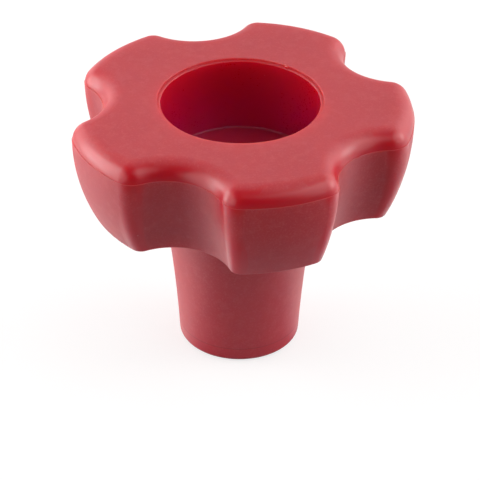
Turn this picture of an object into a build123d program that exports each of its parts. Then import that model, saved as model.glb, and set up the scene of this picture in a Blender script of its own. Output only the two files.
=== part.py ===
from build123d import *
from math import atan2, cos, pi, radians, sin, sqrt, tan
import os

# Jack handle knob: a single red plastic moulding. Five lobes give the grip, a long stem
# carries it on the handle's pin, and a deep recess in the top takes what keeps it on.
# Millimetres. +Z runs up the pin, and the origin is the centre of the stem's end face.
# One lobe points along -Y.

# The pin that the knob turns on
pin_diameter = 15.88
pin_clearance = 0.42
bore_chamfer = 0.45

# Stem, a slightly hollow taper
stem_length = 36.4
stem_end_radius = 13.15
stem_top_radius = 17.1
stem_hollow = 0.53
stem_end_round = 1.15
stem_root_fillet = 1.6

# Head, seen from above at the parting line
lobe_count = 5
head_height = 22.5
head_radius = 36.8
lobe_face_radius = 33.6
scallop_root = 29.2
scallop_radius = 11.85
corner_radius = 4.27

# Top rounding, from the parting line up to the flat top
rounding_height = 3.72
rounding_radius = 3.9
rounding_draft = 8.0
parting_step = 0.1

# Wall below the parting line, which curves in to the lower edge
wall_draft = 1.0
lobe_draw_in = 4.45
root_draw_in = 3.85
lobe_wall_curve = 2.2
root_wall_curve = 1.4
lower_scallop_radius = 12.5
lower_corner_radius = 2.5
lower_edge_round = 0.55

# Recess in the top, with a narrow step round its mouth
mouth_radius = 17.58
step_width = 0.67
step_depth = 0.5
recess_depth = 16.8
recess_floor_radius = 16.38
recess_floor_fillet = 0.4
mouth_edge_round = 0.15
step_edge_round = 0.2

# Small mark that the moulding gate leaves across the step
gate_angle = 40.2
gate_width = 0.5
gate_height = 0.4

# Underside, cored out into one pocket a lobe with a web at each scallop
wall_thickness = 2.8
recess_wall = 3.0
top_plate = 3.5
web_thickness = 3.0
pocket_draft = 1.0
pocket_corner_radius = 1.3
pocket_ceiling_round = 0.8

# Values that follow from the sizes above
total_height = stem_length + head_height
parting_height = total_height - rounding_height
wall_height = parting_height - stem_length
recess_floor_height = total_height - recess_depth
bore_radius = (pin_diameter + pin_clearance) / 2
lobe_step = 360 / lobe_count
first_lobe = -90
overrun = 1.0


def outline(crown, face_radius, root, scallop, corner):
    """Flat outline of the lobes, from tangent arcs.

    A lobe's face reaches out to crown on an arc of face_radius. A scallop reaches in to
    root on an arc of its own radius, and an arc of the corner's radius joins the two.
    """
    half_step = pi / lobe_count
    face_centre = Vector(crown - face_radius, 0)
    scallop_centre = Vector(cos(half_step), sin(half_step)) * (root + scallop)

    # the corner's centre lies where two circles meet
    span = scallop_centre - face_centre
    to_face = face_radius - corner
    to_scallop = scallop + corner
    along = (to_face**2 - to_scallop**2 + span.length**2) / (2 * span.length)
    aside = sqrt(to_face**2 - along**2)
    direction = span.normalized()
    corner_centre = face_centre + direction * along + Vector(direction.Y, -direction.X) * aside

    face_side = (corner_centre - face_centre).normalized()
    scallop_side = (scallop_centre - corner_centre).normalized()
    face_end = corner_centre + face_side * corner
    corner_middle = corner_centre + (face_side + scallop_side).normalized() * corner
    scallop_start = corner_centre + scallop_side * corner
    scallop_middle = Vector(cos(half_step), sin(half_step)) * root

    def across_lobe(point):
        return Vector(point.X, -point.Y)

    def next_lobe(point):
        return point.rotate(Axis.Z, lobe_step)

    lobe = [
        ThreePointArc(across_lobe(face_end), Vector(crown, 0), face_end),
        ThreePointArc(face_end, corner_middle, scallop_start),
        ThreePointArc(scallop_start, scallop_middle, next_lobe(across_lobe(scallop_start))),
        ThreePointArc(
            next_lobe(across_lobe(scallop_start)),
            next_lobe(across_lobe(corner_middle)),
            next_lobe(across_lobe(face_end)),
        ),
    ]
    edges = [
        arc.edge().rotate(Axis.Z, first_lobe + lobe_step * number)
        for number in range(lobe_count)
        for arc in lobe
    ]
    return make_face(edges)


def wall_outline(depth, inset=0.0, corner=None):
    """Outline of the wall at a depth below the parting line, drawn in by inset."""
    share = depth / wall_height
    drafted = depth * tan(radians(wall_draft))
    full_draft = wall_height * tan(radians(wall_draft))
    lobe_in = drafted + (lobe_draw_in - full_draft) * share**lobe_wall_curve
    root_in = drafted + (root_draw_in - full_draft) * share**root_wall_curve
    scallop = scallop_radius + (lower_scallop_radius - scallop_radius) * share**2
    wall_corner = corner_radius + (lower_corner_radius - corner_radius) * share
    return outline(
        head_radius - lobe_in - inset,
        lobe_face_radius - inset,
        scallop_root - root_in - inset,
        scallop + inset,
        wall_corner - inset if corner is None else corner,
    )


def head_wall():
    """Body of the head below the parting line, lofted through its outlines."""
    depths = [wall_height * share for share in (0, 1 / 3, 2 / 3, 1)]
    levels = [Pos(0, 0, parting_height - depth) * wall_outline(depth) for depth in reversed(depths)]
    body = loft(levels)
    lower_edge = body.edges().group_by(Axis.Z)[0]
    return fillet(lower_edge, lower_edge_round)


def head_cap():
    """Top of the head above the parting line, with its rounding."""
    base = Pos(0, 0, parting_height) * wall_outline(0, inset=parting_step)
    cap = extrude(base, amount=rounding_height, taper=rounding_draft)
    return fillet(cap.edges().group_by(Axis.Z)[-1], rounding_radius)


def stem():
    """Stem up to the underside of the head, with a rounded end."""
    half_slope = atan2(stem_top_radius - stem_end_radius, stem_length)
    middle = Vector((stem_end_radius + stem_top_radius) / 2, stem_length / 2)
    hollow = middle + Vector(-cos(half_slope), sin(half_slope)) * stem_hollow
    top = Vector(stem_top_radius, stem_length)
    side = ThreePointArc(Vector(stem_end_radius, 0), hollow, top)
    profile = make_face(
        [
            side.edge(),
            Line(top, Vector(0, stem_length)).edge(),
            Line(Vector(0, stem_length), Vector(0, 0)).edge(),
            Line(Vector(0, 0), Vector(stem_end_radius, 0)).edge(),
        ]
    )
    corner = profile.vertices().sort_by(Axis.X).filter_by(lambda v: abs(v.Y) < 0.01)[-1]
    profile = fillet(corner, stem_end_round)
    return revolve(Plane.XZ * profile, Axis.Z)


def ring_edges(solid, radius, height):
    """The circular edges of one radius at one height."""
    circles = solid.edges().filter_by(GeomType.CIRCLE)
    return circles.filter_by(
        lambda edge: abs(edge.radius - radius) < 0.01 and abs(edge.arc_center.Z - height) < 0.01
    )


def recess():
    """Space of the recess, its step and the pin's bore."""
    neck_radius = mouth_radius - step_width
    step_height = total_height - step_depth
    profile = Polyline(
        (0, recess_floor_height),
        (recess_floor_radius, recess_floor_height),
        (neck_radius, step_height),
        (mouth_radius, step_height),
        (mouth_radius, total_height + overrun),
        (0, total_height + overrun),
        close=True,
    )
    space = revolve(Plane.XZ * make_face(profile.edges()), Axis.Z)
    bore = Pos(0, 0, -overrun) * Cylinder(
        bore_radius,
        recess_floor_height + 2 * overrun,
        align=(Align.CENTER, Align.CENTER, Align.MIN),
    )
    return space + bore


def pocket_outline():
    """Flat outline of the first lobe's pocket at the underside."""
    hollow = wall_outline(wall_height, inset=wall_thickness, corner=pocket_corner_radius)
    cup = Circle(recess_floor_radius + recess_wall)
    webs = [
        Rot(0, 0, first_lobe + lobe_step * (number + 0.5))
        * Rectangle(head_radius, web_thickness, align=(Align.MIN, Align.CENTER))
        for number in range(lobe_count)
    ]
    pocket = (hollow - cup - webs).faces().sort_by(Axis.Y)[0]
    web_sides = pocket.edges().filter_by(GeomType.LINE)
    return pocket.fillet_2d(pocket_corner_radius, web_sides.vertices())


def pocket():
    """Space of the first lobe's pocket, which widens downwards so that its core draws."""
    floor = Pos(0, 0, stem_length) * pocket_outline()
    space = extrude(floor, amount=head_height - top_plate, taper=pocket_draft)
    return fillet(space.edges().group_by(Axis.Z)[-1], pocket_ceiling_round)


def gate_mark():
    """Nub left across the step by the moulding gate."""
    return Rot(0, 0, gate_angle) * Pos(mouth_radius - step_width, 0, total_height - step_depth) * Box(
        step_width + mouth_edge_round,
        gate_width,
        gate_height,
        align=(Align.MIN, Align.CENTER, Align.MIN),
    )


def knob():
    """The whole moulding."""
    body = head_wall() + head_cap() + stem()
    body = fillet(ring_edges(body, stem_top_radius, stem_length), stem_root_fillet)
    body -= recess()
    body -= [Rot(0, 0, lobe_step * number) * pocket() for number in range(lobe_count)]
    body = fillet(ring_edges(body, mouth_radius, total_height), mouth_edge_round)
    neck_edge = ring_edges(body, mouth_radius - step_width, total_height - step_depth)
    body = fillet(neck_edge, step_edge_round)
    floor_edge = ring_edges(body, recess_floor_radius, recess_floor_height)
    body = fillet(floor_edge, recess_floor_fillet)
    body = chamfer(ring_edges(body, bore_radius, 0), bore_chamfer)
    return body + gate_mark()


os.makedirs("parts", exist_ok=True)
export_step(knob(), "parts/knob.step")
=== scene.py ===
from math import cos, pi, radians, sin, tan

import bpy
from mathutils import Matrix, Vector


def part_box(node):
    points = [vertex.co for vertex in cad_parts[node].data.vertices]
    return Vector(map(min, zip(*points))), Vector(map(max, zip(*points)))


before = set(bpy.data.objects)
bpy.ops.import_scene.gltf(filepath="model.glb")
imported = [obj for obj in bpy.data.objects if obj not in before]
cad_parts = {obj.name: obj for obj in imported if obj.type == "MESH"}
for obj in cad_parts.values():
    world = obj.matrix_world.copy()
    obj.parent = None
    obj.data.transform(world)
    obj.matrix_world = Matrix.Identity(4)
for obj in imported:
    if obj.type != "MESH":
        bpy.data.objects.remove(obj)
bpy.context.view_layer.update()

# Jack handle knob of red moulded plastic, standing on its stem on a white floor.
# The shape is the CAD node itself; this script gives it its plastic, the light and the view.

scene = bpy.context.scene
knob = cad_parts["knob"]

# Levels and radii of the knob that its surface finish follows, in metres
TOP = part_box("knob")[1].z
PARTING = TOP - 0.00372
HEAD_BOTTOM = 0.0364
WITNESS_LINE = 0.0034
RECESS_FLOOR = TOP - 0.0168
MOUTH_RADIUS = 0.01758

# Where one finish gives way to another: the middle of each change, in metres
RECESS_RIM = MOUTH_RADIUS - 0.0005
OUTER_RIM = MOUTH_RADIUS + 0.0025
RECESS_BOTTOM = RECESS_FLOOR - 0.0001
ROUNDING_TOP = TOP - 0.0008
CORNER_TOP = TOP - 0.00045
CORNER_BOTTOM = HEAD_BOTTOM - 0.0003
RUB_TOP = TOP - 0.0015

# Vertical corner between a lobe's face and a scallop: its centre along the lobe and across it,
# its radius, what each of them loses by the lower edge, and its finish's fade, in metres
LOBES = 5
CORNER_ALONG = 0.03139
CORNER_ACROSS = 0.00811
CORNER_RADIUS = 0.00427
CORNER_ALONG_IN = 0.00242
CORNER_ACROSS_IN = 0.00078
CORNER_RADIUS_IN = 0.00177
CORNER_FADE = 0.0002

# Colours, linear: the grained outside, where it is smooth, and the recess from rim to floor, where
# it turns purplish as painted shade
GRAINED_RED = (0.520, 0.0225, 0.0380, 1.0)
SMOOTH_RED = (0.545, 0.0005, 0.0138, 1.0)
RECESS_RED = (0.515, 0.0005, 0.0180, 1.0)
RECESS_SHADE_RED = (0.515, 0.0005, 0.0850, 1.0)
PALE_RED = (0.66, 0.14, 0.15, 1.0)
DARK_RED = (0.26, 0.004, 0.012, 1.0)
DUST = (0.80, 0.42, 0.38, 1.0)

# How far each mark turns the red into its own colour, at most
FLOW_SHARE = 0.10
MOTTLE_SHARE = 0.13
GRAIN_SHARE = 0.24
# the pale line at the parting is a painted highlight on its ledge
PARTING_HIGHLIGHT_SHARE = 0.35
WITNESS_SHARE = 0.45
DUST_SHARE = 0.30
RUB_SHARE = 0.10

# Roughness of the grained and of the smooth plastic, what some places add to it, how smooth
# the stem's end is, and the height of the grain in metres
GRAINED_ROUGHNESS = 0.473
SMOOTH_ROUGHNESS = 0.321
RECESS_WALL_MORE = -0.02
RECESS_CORNER_MORE = 0.16
RUB_MORE = 0.06
STEM_END_SMOOTH = 0.45
RELIEF_HEIGHT = 0.0000012

# Depth of the plastic: the light that scatters in it outside, and what the recess adds,
# how far red, green and blue go, and that distance in metres
PLASTIC_IOR = 1.632
SCATTER_OUTSIDE = 0.922
SCATTER_RECESS_MORE = 0.078
SCATTER_BY_COLOUR = (1.0, 0.2, 0.1)
SCATTER_DISTANCE = 0.008

# Studio: the lamps' white, the point that they aim at, and the room's glow by side
WHITE = (1.0, 1.0, 1.0, 1.0)
LAMP_COLOUR = (1.0, 1.0, 0.995, 1.0)
LAMP_AIM = Vector((0.0, 0.0, 0.04))
ROOM_DIM = 0.165
ROOM_FRONT = 0.027
ROOM_BEHIND = 0.690
ROOM_LEFT = 0.184
ROOM_RIGHT = 0.421
ROOM_ABOVE = 0.013

# Floor: half its width, its matt colours, and where its dim part in front of the knob lies
FLOOR_HALF = 4.0
FLOOR_COLOUR = (0.365, 0.365, 0.365, 1.0)
FLOOR_FAR_COLOUR = (0.221, 0.221, 0.221, 1.0)
FLOOR_FRONT_AZIMUTH = 10.9
FLOOR_FRONT_REACH = 0.0897
FLOOR_FRONT_FADE = 0.05

# The floor's white in the knob's gloss by side, its tint there in front, and its white
# to the camera, near the knob and what the far front adds
MIRRORED_FRONT = 0.170
MIRRORED_SIDES = 0.989
MIRRORED_BEHIND = 0.560
MIRRORED_FRONT_TINT = (0.84, 0.90, 1.20, 1.0)
SEEN_NEAR = 0.68
SEEN_FAR_MORE = 0.14

# The camera's side and turns in degrees, its distance from the knob's axis and its height
# in metres, and its lens in millimetres
CAMERA_AZIMUTH = 255.169
CAMERA_ELEVATION = 33.928
CAMERA_HEADING = 75.158
CAMERA_ROLL = 0.3208564
CAMERA_DISTANCE = 0.444973
CAMERA_HEIGHT = 0.322528
CAMERA_LENS = 183.94


def direction(azimuth, elevation):
    """Unit vector; the azimuth is counterclockwise from the camera's side, in degrees."""
    around = radians(CAMERA_AZIMUTH + azimuth)
    up = radians(elevation)
    return Vector((cos(up) * cos(around), cos(up) * sin(around), sin(up)))


def new_object(name, data):
    item = bpy.data.objects.new(name, data)
    scene.collection.objects.link(item)
    return item


class Nodes:
    """Short way to write a node tree: each call adds a node and links its inputs."""

    def __init__(self, tree):
        self.tree = tree
        tree.nodes.clear()

    def add(self, kind, settings=None, **inputs):
        """New node; an input is a socket to link or a value to set.

        An input goes by its name, with _ for a space, or by its number, as in in_0.
        """
        item = self.tree.nodes.new(kind)
        for key, value in (settings or {}).items():
            setattr(item, key, value)
        for key, value in inputs.items():
            socket = self.socket(item, key)
            if isinstance(value, bpy.types.NodeSocket):
                self.tree.links.new(value, socket)
            else:
                socket.default_value = value
        return item

    def socket(self, item, key):
        if key.startswith("in_"):
            return item.inputs[int(key[3:])]
        return item.inputs[key.replace("_", " ")]

    def math(self, operation, first, second=0.0, third=0.0):
        item = self.add(
            "ShaderNodeMath",
            {"operation": operation},
            in_0=first,
            in_1=second,
            in_2=third,
        )
        return item.outputs[0]

    def product(self, first, *others):
        for other in others:
            first = self.math("MULTIPLY", first, other)
        return first

    def length(self, first, second):
        """Length of the vector with these two parts."""
        squared = self.math("MULTIPLY", second, second)
        return self.math("SQRT", self.math("MULTIPLY_ADD", first, first, squared))

    def facing(self, vector, azimuth, elevation):
        """How far a unit vector points that way: 1 along it and -1 against it."""
        item = self.add(
            "ShaderNodeVectorMath",
            {"operation": "DOT_PRODUCT"},
            in_0=vector,
            in_1=direction(azimuth, elevation),
        )
        return item.outputs["Value"]

    def spread(self, value, low, high, to_low=0.0, to_high=1.0):
        """The value between low and high, mapped smoothly onto another range."""
        item = self.add(
            "ShaderNodeMapRange",
            {"interpolation_type": "SMOOTHSTEP"},
            Value=value,
            From_Min=low,
            From_Max=high,
            To_Min=to_low,
            To_Max=to_high,
        )
        return item.outputs[0]

    def above(self, value, limit, fade):
        """0 below the limit and 1 above it; the fade is half the change's width."""
        return self.spread(value, limit - fade, limit + fade)

    def below(self, value, limit, fade):
        """1 below the limit and 0 above it; the fade is half the change's width."""
        return self.spread(value, limit + fade, limit - fade)

    def band(self, height, centre, half_width):
        """1 at one height, falling to 0 at half_width above and below it."""
        away = self.math("ABSOLUTE", self.math("SUBTRACT", height, centre))
        return self.spread(away, 0.0, half_width, 1.0, 0.0)

    def noise(self, place, scale, detail, rough=0.5):
        item = self.add(
            "ShaderNodeTexNoise",
            Vector=place,
            Scale=scale,
            Detail=detail,
            Roughness=rough,
        )
        return item.outputs["Fac"]

    def stretched(self, place, along_z):
        """The place with its height scaled, so that a texture on it is drawn out."""
        item = self.add("ShaderNodeMapping", Vector=place, Scale=(1.0, 1.0, along_z))
        return item.outputs[0]

    def blend(self, share, first, second):
        """The first colour, turned into the second by the share."""
        item = self.add(
            "ShaderNodeMix",
            {"data_type": "RGBA"},
            in_0=share,
            in_6=first,
            in_7=second,
        )
        return item.outputs[2]


class KnobPlaces:
    """Where a point is on the knob: its height and radius, and shares from 0 to 1."""

    def __init__(self, n):
        self.place = n.add("ShaderNodeTexCoord").outputs["Object"]
        parts = n.add("ShaderNodeSeparateXYZ", Vector=self.place).outputs
        self.height = parts["Z"]
        self.radius = n.length(parts["X"], parts["Y"])
        around = n.math("ARCTAN2", parts["Y"], parts["X"])
        self.outside = n.above(self.radius, OUTER_RIM, fade=0.0005)
        self.recess = n.product(
            n.below(self.radius, RECESS_RIM, fade=0.0001),
            n.above(self.height, RECESS_BOTTOM, fade=0.0005),
        )
        self.top_rounding = n.product(
            n.below(self.height, ROUNDING_TOP, fade=0.0006),
            n.above(self.height, PARTING, fade=0.0001),
            self.outside,
        )
        self.corner = n.product(
            self.corner_share(n, around),
            n.above(self.height, CORNER_BOTTOM, fade=0.0003),
            n.below(self.height, CORNER_TOP, fade=0.00035),
        )
        self.stem_end = n.below(self.height, WITNESS_LINE, fade=0.0001)

    def corner_share(self, n, around):
        """1 on the vertical corners.

        All the lobes are folded onto one half of the lobe that points along -Y. The corner's
        centre and radius draw in from the parting line to the lower edge.
        """
        half_step = pi / LOBES
        from_lobe = n.math("ADD", around, pi / 2)
        turn = n.math("ABSOLUTE", n.math("WRAP", from_lobe, half_step, -half_step))
        along = n.math("MULTIPLY", self.radius, n.math("COSINE", turn))
        across = n.math("MULTIPLY", self.radius, n.math("SINE", turn))
        depth = n.math("SUBTRACT", PARTING, self.height)
        share = n.math("DIVIDE", depth, PARTING - HEAD_BOTTOM)
        curved = n.math("MULTIPLY", share, share)
        steep = n.math("MULTIPLY", curved, curved)
        centre_along = n.math("MULTIPLY_ADD", steep, -CORNER_ALONG_IN, CORNER_ALONG)
        centre_across = n.math("MULTIPLY_ADD", curved, -CORNER_ACROSS_IN, CORNER_ACROSS)
        corner_radius = n.math("MULTIPLY_ADD", share, -CORNER_RADIUS_IN, CORNER_RADIUS)
        from_centre = n.length(
            n.math("SUBTRACT", along, centre_along),
            n.math("SUBTRACT", across, centre_across),
        )
        beyond = n.math("SUBTRACT", from_centre, corner_radius)
        return n.spread(beyond, CORNER_FADE, 0.0)


class Finish:
    """What the plastic's colour, roughness and relief share: places, noises and marks."""

    def __init__(self, n):
        at = KnobPlaces(n)
        self.at = at

        # the grain fades where the mould was polished and where hands rub the corners
        end_band = n.math("MULTIPLY", at.stem_end, STEM_END_SMOOTH)
        self.edges = n.math("MAXIMUM", n.math("MAXIMUM", at.corner, at.top_rounding), end_band)
        self.smooth = n.math("MAXIMUM", self.edges, at.recess)
        self.fine = n.math("SUBTRACT", 1.0, self.smooth)

        # noises, from flow in the mould down to the grain
        self.flow = n.noise(n.stretched(at.place, 0.45), scale=60.0, detail=3.0)
        self.peel = n.noise(at.place, scale=260.0, detail=1.0)
        self.mottle = n.noise(at.place, scale=520.0, detail=2.0)
        self.grain = n.noise(at.place, scale=2400.0, detail=2.0)

        # a thin pale line at the parting, a painted highlight on its ledge, and the line that the
        # mould left round the stem's end
        self.parting_highlight = n.band(at.height, PARTING - 0.00006, half_width=0.00014)
        self.witness = n.band(at.height, WITNESS_LINE, half_width=0.00022)

        # rubs round the stem and the walls
        streaks = n.noise(n.stretched(at.place, 9.0), scale=150.0, detail=3.0, rough=0.6)
        self.rub = n.product(
            n.spread(streaks, 0.62, 0.78),
            n.below(at.height, RUB_TOP, fade=0.0005),
            self.fine,
        )


def dust_specks(n, place):
    """1 on the specks, which sit in a few of the cells of a random pattern."""
    cells = n.add("ShaderNodeTexVoronoi", Vector=place, Scale=190.0, Randomness=1.0).outputs
    chance = n.add("ShaderNodeSeparateColor", Color=cells["Color"]).outputs[0]
    return n.product(n.spread(cells["Distance"], 0.035, 0.012), n.spread(chance, 0.72, 0.76))


def plastic_colour(n, finish):
    """Red, hazy where it is grained and purplish down the recess as painted shade, with its marks
    and a painted highlight along the parting.
    """
    at = finish.at
    # the recess turns purplish from its rim down to its floor: painted shade
    recess_shade = n.spread(at.height, TOP - 0.002, RECESS_FLOOR + 0.0004)
    flow = n.spread(finish.flow, 0.35, 0.70, 0.0, FLOW_SHARE)
    mottle = n.spread(finish.mottle, 0.45, 0.75, 0.0, MOTTLE_SHARE)
    grain = n.spread(finish.grain, 0.45, 0.80, 0.0, GRAIN_SHARE)
    # pale line along the parting: painted highlight
    parting_highlight = n.product(finish.parting_highlight, at.outside, PARTING_HIGHLIGHT_SHARE)

    colour = n.blend(finish.edges, GRAINED_RED, SMOOTH_RED)
    colour = n.blend(at.recess, colour, n.blend(recess_shade, RECESS_RED, RECESS_SHADE_RED))
    colour = n.blend(flow, colour, DARK_RED)
    colour = n.blend(n.math("MULTIPLY", mottle, finish.fine), colour, PALE_RED)
    colour = n.blend(n.math("MULTIPLY", grain, finish.fine), colour, PALE_RED)
    colour = n.blend(parting_highlight, colour, PALE_RED)
    colour = n.blend(n.math("MULTIPLY", finish.witness, WITNESS_SHARE), colour, DARK_RED)
    colour = n.blend(n.math("MULTIPLY", dust_specks(n, at.place), DUST_SHARE), colour, DUST)
    return n.blend(n.math("MULTIPLY", finish.rub, RUB_SHARE), colour, PALE_RED)


def plastic_roughness(n, finish):
    """Satin where it is grained, glossier where smooth, duller round the recess's floor."""
    at = finish.at
    in_recess = n.spread(
        at.height,
        RECESS_FLOOR + 0.0016,
        RECESS_FLOOR + 0.0008,
        RECESS_WALL_MORE,
        RECESS_CORNER_MORE,
    )
    roughness = n.spread(finish.smooth, 0.0, 1.0, GRAINED_ROUGHNESS, SMOOTH_ROUGHNESS)
    roughness = n.math("MULTIPLY_ADD", at.recess, in_recess, roughness)
    roughness = n.math("ADD", roughness, n.spread(finish.flow, 0.3, 0.7, -0.015, 0.015))
    roughness = n.math("ADD", roughness, n.spread(finish.grain, 0.3, 0.7, -0.02, 0.03))
    return n.math("MULTIPLY_ADD", finish.rub, RUB_MORE, roughness)


def plastic_relief(n, finish):
    """Grain over a broader peel, with a groove at the line round the stem's end."""
    relief = n.math("MULTIPLY_ADD", finish.peel, 3.0, n.product(finish.grain, finish.fine))
    relief = n.math("MULTIPLY_ADD", finish.witness, -8.0, relief)
    bump = n.add("ShaderNodeBump", Strength=1.0, Distance=RELIEF_HEIGHT, Height=relief)
    return bump.outputs[0]


def red_plastic():
    """Red polypropylene, slightly translucent: fine moulded grain, smooth recess and corners."""
    material = bpy.data.materials.new("red_plastic_satin")
    material.use_nodes = True
    n = Nodes(material.node_tree)
    finish = Finish(n)
    scatter = n.math("MULTIPLY_ADD", finish.at.recess, SCATTER_RECESS_MORE, SCATTER_OUTSIDE)
    plastic = n.add(
        "ShaderNodeBsdfPrincipled",
        {"subsurface_method": "RANDOM_WALK"},
        Base_Color=plastic_colour(n, finish),
        Roughness=plastic_roughness(n, finish),
        IOR=PLASTIC_IOR,
        Subsurface_Weight=scatter,
        Subsurface_Radius=SCATTER_BY_COLOUR,
        Subsurface_Scale=SCATTER_DISTANCE,
        Normal=plastic_relief(n, finish),
    )
    n.add("ShaderNodeOutputMaterial", Surface=plastic.outputs[0])
    return material


def add_camera():
    camera = new_object("camera", bpy.data.cameras.new("camera"))
    camera.data.lens = CAMERA_LENS
    around = radians(CAMERA_AZIMUTH)
    camera.location = (CAMERA_DISTANCE * cos(around), CAMERA_DISTANCE * sin(around), CAMERA_HEIGHT)
    heading = Matrix.Rotation(radians(CAMERA_HEADING - 90.0), 3, "Z")
    tilt = Matrix.Rotation(radians(90.0 - CAMERA_ELEVATION), 3, "X")
    roll = Matrix.Rotation(radians(CAMERA_ROLL), 3, "Z")
    camera.rotation_mode = "QUATERNION"
    camera.rotation_quaternion = (heading @ tilt @ roll).to_quaternion()
    scene.camera = camera


class FloorPlaces:
    """Where a point is on the floor, each as a share from 0 to 1."""

    def __init__(self, n):
        ground = n.add("ShaderNodeNewGeometry").outputs["Position"]
        away = n.add("ShaderNodeVectorMath", {"operation": "LENGTH"}, in_0=ground)
        outwards = n.add("ShaderNodeVectorMath", {"operation": "NORMALIZE"}, in_0=ground)
        to_front = n.facing(outwards.outputs[0], FLOOR_FRONT_AZIMUTH, 0.0)
        self.near = n.spread(
            away.outputs["Value"],
            FLOOR_FRONT_REACH,
            FLOOR_FRONT_REACH - FLOOR_FRONT_FADE,
        )
        self.front = n.spread(to_front, 0.05, 0.8)
        self.behind = n.spread(to_front, -0.1, -0.95)
        self.far_front = n.math("MULTIPLY", self.front, n.math("SUBTRACT", 1.0, self.near))


def white_floor():
    """Matt grey that takes the shadow, with its own white to the camera and in the gloss."""
    material = bpy.data.materials.new("white_sweep")
    material.use_nodes = True
    n = Nodes(material.node_tree)
    path = n.add("ShaderNodeLightPath").outputs
    at = FloorPlaces(n)
    matt = n.add(
        "ShaderNodeBsdfDiffuse",
        Color=n.blend(at.far_front, FLOOR_COLOUR, FLOOR_FAR_COLOUR),
    )

    # in the knob's gloss the floor is bright at the sides, and dim and cool towards the camera
    mirrored = n.math("MAXIMUM", path["Is Glossy Ray"], path["Is Transmission Ray"])
    dimmer = n.math("MULTIPLY_ADD", at.near, MIRRORED_FRONT, -MIRRORED_SIDES)
    level = n.math("MULTIPLY_ADD", at.front, dimmer, MIRRORED_SIDES)
    level = n.math("MULTIPLY_ADD", at.behind, MIRRORED_BEHIND - MIRRORED_SIDES, level)
    tint = n.blend(n.math("MULTIPLY", mirrored, at.front), WHITE, MIRRORED_FRONT_TINT)
    in_gloss = n.math("MULTIPLY", mirrored, level)

    seen = n.math("MULTIPLY_ADD", at.far_front, SEEN_FAR_MORE, SEEN_NEAR)
    shown = n.math("MULTIPLY_ADD", path["Is Camera Ray"], seen, in_gloss)
    white = n.add("ShaderNodeEmission", Color=tint, Strength=shown)
    both = n.add("ShaderNodeAddShader", in_0=matt.outputs[0], in_1=white.outputs[0])
    n.add("ShaderNodeOutputMaterial", Surface=both.outputs[0])
    return material


def add_floor():
    """Flat floor that the knob stands on."""
    half = FLOOR_HALF
    mesh = bpy.data.meshes.new("floor")
    corners = [(-half, -half, 0.0), (half, -half, 0.0), (half, half, 0.0), (-half, half, 0.0)]
    mesh.from_pydata(corners, [], [(0, 1, 2, 3)])
    floor = new_object("floor", mesh)
    mesh.materials.append(white_floor())


def add_world():
    """White to the camera; a dim room whose walls glow behind, left, right and above."""
    world = bpy.data.worlds.new("studio")
    scene.world = world
    world.use_nodes = True
    n = Nodes(world.node_tree)
    ray = n.add("ShaderNodeTexCoord").outputs["Generated"]

    def glow(azimuth, elevation, level, so_far):
        facing = n.math("MAXIMUM", n.facing(ray, azimuth, elevation), 0.0)
        return n.math("MULTIPLY_ADD", n.math("POWER", facing, 3.0), level, so_far)

    # darkest on the camera's side, with a broad glow added on each of the others
    room = n.spread(n.facing(ray, 0, 15), 0.2, 0.85, ROOM_DIM, ROOM_FRONT)
    room = glow(180, 8, ROOM_BEHIND, room)
    room = glow(-100, 40, ROOM_LEFT, room)
    room = glow(100, 40, ROOM_RIGHT, room)
    room = glow(180, 85, ROOM_ABOVE, room)
    lit = n.add("ShaderNodeBackground", Color=LAMP_COLOUR, Strength=room)
    white = n.add("ShaderNodeBackground", Color=WHITE)
    seen = n.add("ShaderNodeLightPath").outputs["Is Camera Ray"]
    mix = n.add("ShaderNodeMixShader", in_0=seen, in_1=lit.outputs[0], in_2=white.outputs[0])
    n.add("ShaderNodeOutputWorld", Surface=mix.outputs[0])


def add_softbox(name, side, span, radiance, distance):
    """Rectangular soft light that the camera doesn't see.

    The side is its azimuth and elevation, and the span is the angles that it covers across
    and upwards as seen from where it aims, all in degrees. The distance is in metres.
    """
    wide, tall = span
    light = bpy.data.lights.new(name, "AREA")
    light.shape = "RECTANGLE"
    light.size = 2.0 * distance * tan(radians(wide / 2))
    light.size_y = 2.0 * distance * tan(radians(tall / 2))
    light.color = LAMP_COLOUR[:3]
    light.energy = radiance * pi * light.size * light.size_y
    item = new_object(name, light)
    towards = direction(*side)
    item.location = distance * towards + LAMP_AIM
    item.rotation_mode = "QUATERNION"
    item.rotation_quaternion = towards.to_track_quat("Z", "Y")
    item.visible_camera = False


knob.material_slots[0].material = red_plastic()
add_camera()
add_floor()
add_world()
add_softbox("softbox_left", (-94.1, 10.5), (124.6, 72.6), radiance=1.41, distance=0.549)
add_softbox("softbox_left_core", (-94.1, 7.6), (33.4, 51.4), radiance=3.08, distance=0.245)
add_softbox("softbox_right", (95.9, 18.9), (103.0, 79.1), radiance=1.19, distance=1.458)
add_softbox("softbox_right_core", (95.9, 18.9), (25.7, 27.9), radiance=2.90, distance=1.429)
add_softbox("softbox_high", (52.8, 48.8), (60.0, 20.0), radiance=0.77, distance=0.6)
scene.view_settings.view_transform = "Standard"
